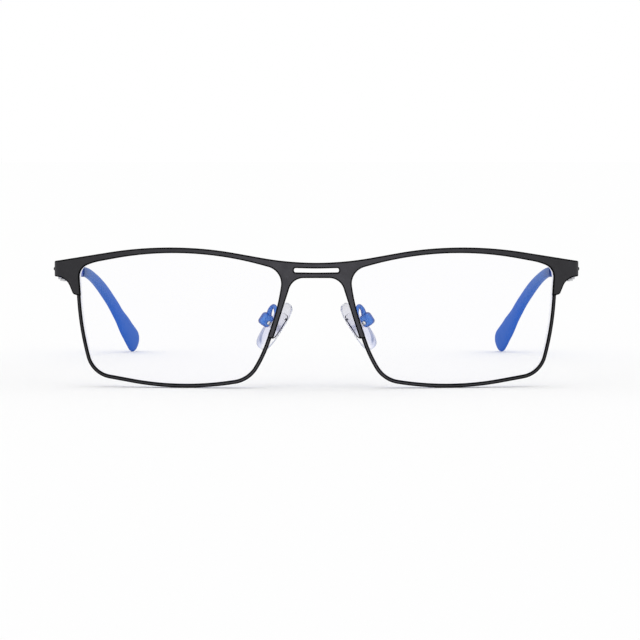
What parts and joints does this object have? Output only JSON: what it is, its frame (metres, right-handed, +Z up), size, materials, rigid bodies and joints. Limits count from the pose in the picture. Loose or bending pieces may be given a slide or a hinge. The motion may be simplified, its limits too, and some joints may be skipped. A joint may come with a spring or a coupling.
{
  "type": "blue light glasses",
  "caption": "Full-rim rectangular metal glasses with clear lenses, a slotted double bridge, rocking nose pads and folding temples with blue tips.",
  "frame": {"origin": "middle of the bounding box's underside, on the table the open glasses stand on", "axes": "+X to the right seen from the front, +Y from the front back along the open temples, +Z up; left and right in node names are as seen from the front"},
  "size_m": [0.1412, 0.1386, 0.0374],
  "materials": {
    "frame_black_enamel": "satin black enamel",
    "hinge_nickel_steel": "bright nickel",
    "pad_arm_blue_enamel": "glossy blue enamel",
    "tip_blue_acetate": "soft gloss blue",
    "lens_clear": "clear, coated, with a faint blue reflection",
    "pad_clear_silicone": "clear soft silicone"
  },
  "bodies": {
    "front": {"front_plate": "frame_black_enamel", "left_rim": "frame_black_enamel", "left_lens": "lens_clear", "left_rim_lock_upper": "frame_black_enamel", "left_rim_lock_lower": "frame_black_enamel", "left_rim_lock_screw": "hinge_nickel_steel", "left_hinge_front_leaf": "hinge_nickel_steel", "left_hinge_screw": "hinge_nickel_steel", "left_hinge_rivet": "frame_black_enamel", "left_pad_arm": "pad_arm_blue_enamel", "left_pad_box": "pad_arm_blue_enamel", "left_pad_screw": "hinge_nickel_steel", "right_rim": "frame_black_enamel", "right_lens": "lens_clear", "right_rim_lock_upper": "frame_black_enamel", "right_rim_lock_lower": "frame_black_enamel", "right_rim_lock_screw": "hinge_nickel_steel", "right_hinge_front_leaf": "hinge_nickel_steel", "right_hinge_screw": "hinge_nickel_steel", "right_hinge_rivet": "frame_black_enamel", "right_pad_arm": "pad_arm_blue_enamel", "right_pad_box": "pad_arm_blue_enamel", "right_pad_screw": "hinge_nickel_steel"},
    "temple_left": {"left_temple_arm": "frame_black_enamel", "left_temple_tip": "tip_blue_acetate", "left_hinge_temple_leaf": "hinge_nickel_steel"},
    "pad_left": {"left_nose_pad": "pad_clear_silicone", "left_pad_mount": "hinge_nickel_steel"},
    "temple_right": {"right_temple_arm": "frame_black_enamel", "right_temple_tip": "tip_blue_acetate", "right_hinge_temple_leaf": "hinge_nickel_steel"},
    "pad_right": {"right_nose_pad": "pad_clear_silicone", "right_pad_mount": "hinge_nickel_steel"}
  },
  "joints": [
    {"name": "left_temple_fold", "type": "hinge", "parent": "front", "child": "temple_left", "pos_m": [-0.06815, -0.05434, 0.0303], "axis": [0, -0.0541, -0.9985], "range_deg": [0, 86]},
    {"name": "right_temple_fold", "type": "hinge", "parent": "front", "child": "temple_right", "pos_m": [0.06815, -0.05434, 0.0303], "axis": [0, 0.0541, 0.9985], "range_deg": [0, 82]},
    {"name": "left_pad_rock", "type": "hinge", "parent": "front", "child": "pad_left", "pos_m": [-0.0134, -0.06098, 0.01739], "axis": [-0.4542, 0.8387, 0.3006], "range_deg": [-10, 10]},
    {"name": "right_pad_rock", "type": "hinge", "parent": "front", "child": "pad_right", "pos_m": [0.0134, -0.06098, 0.01739], "axis": [0.4542, 0.8387, 0.3006], "range_deg": [-10, 10]}
  ]
}
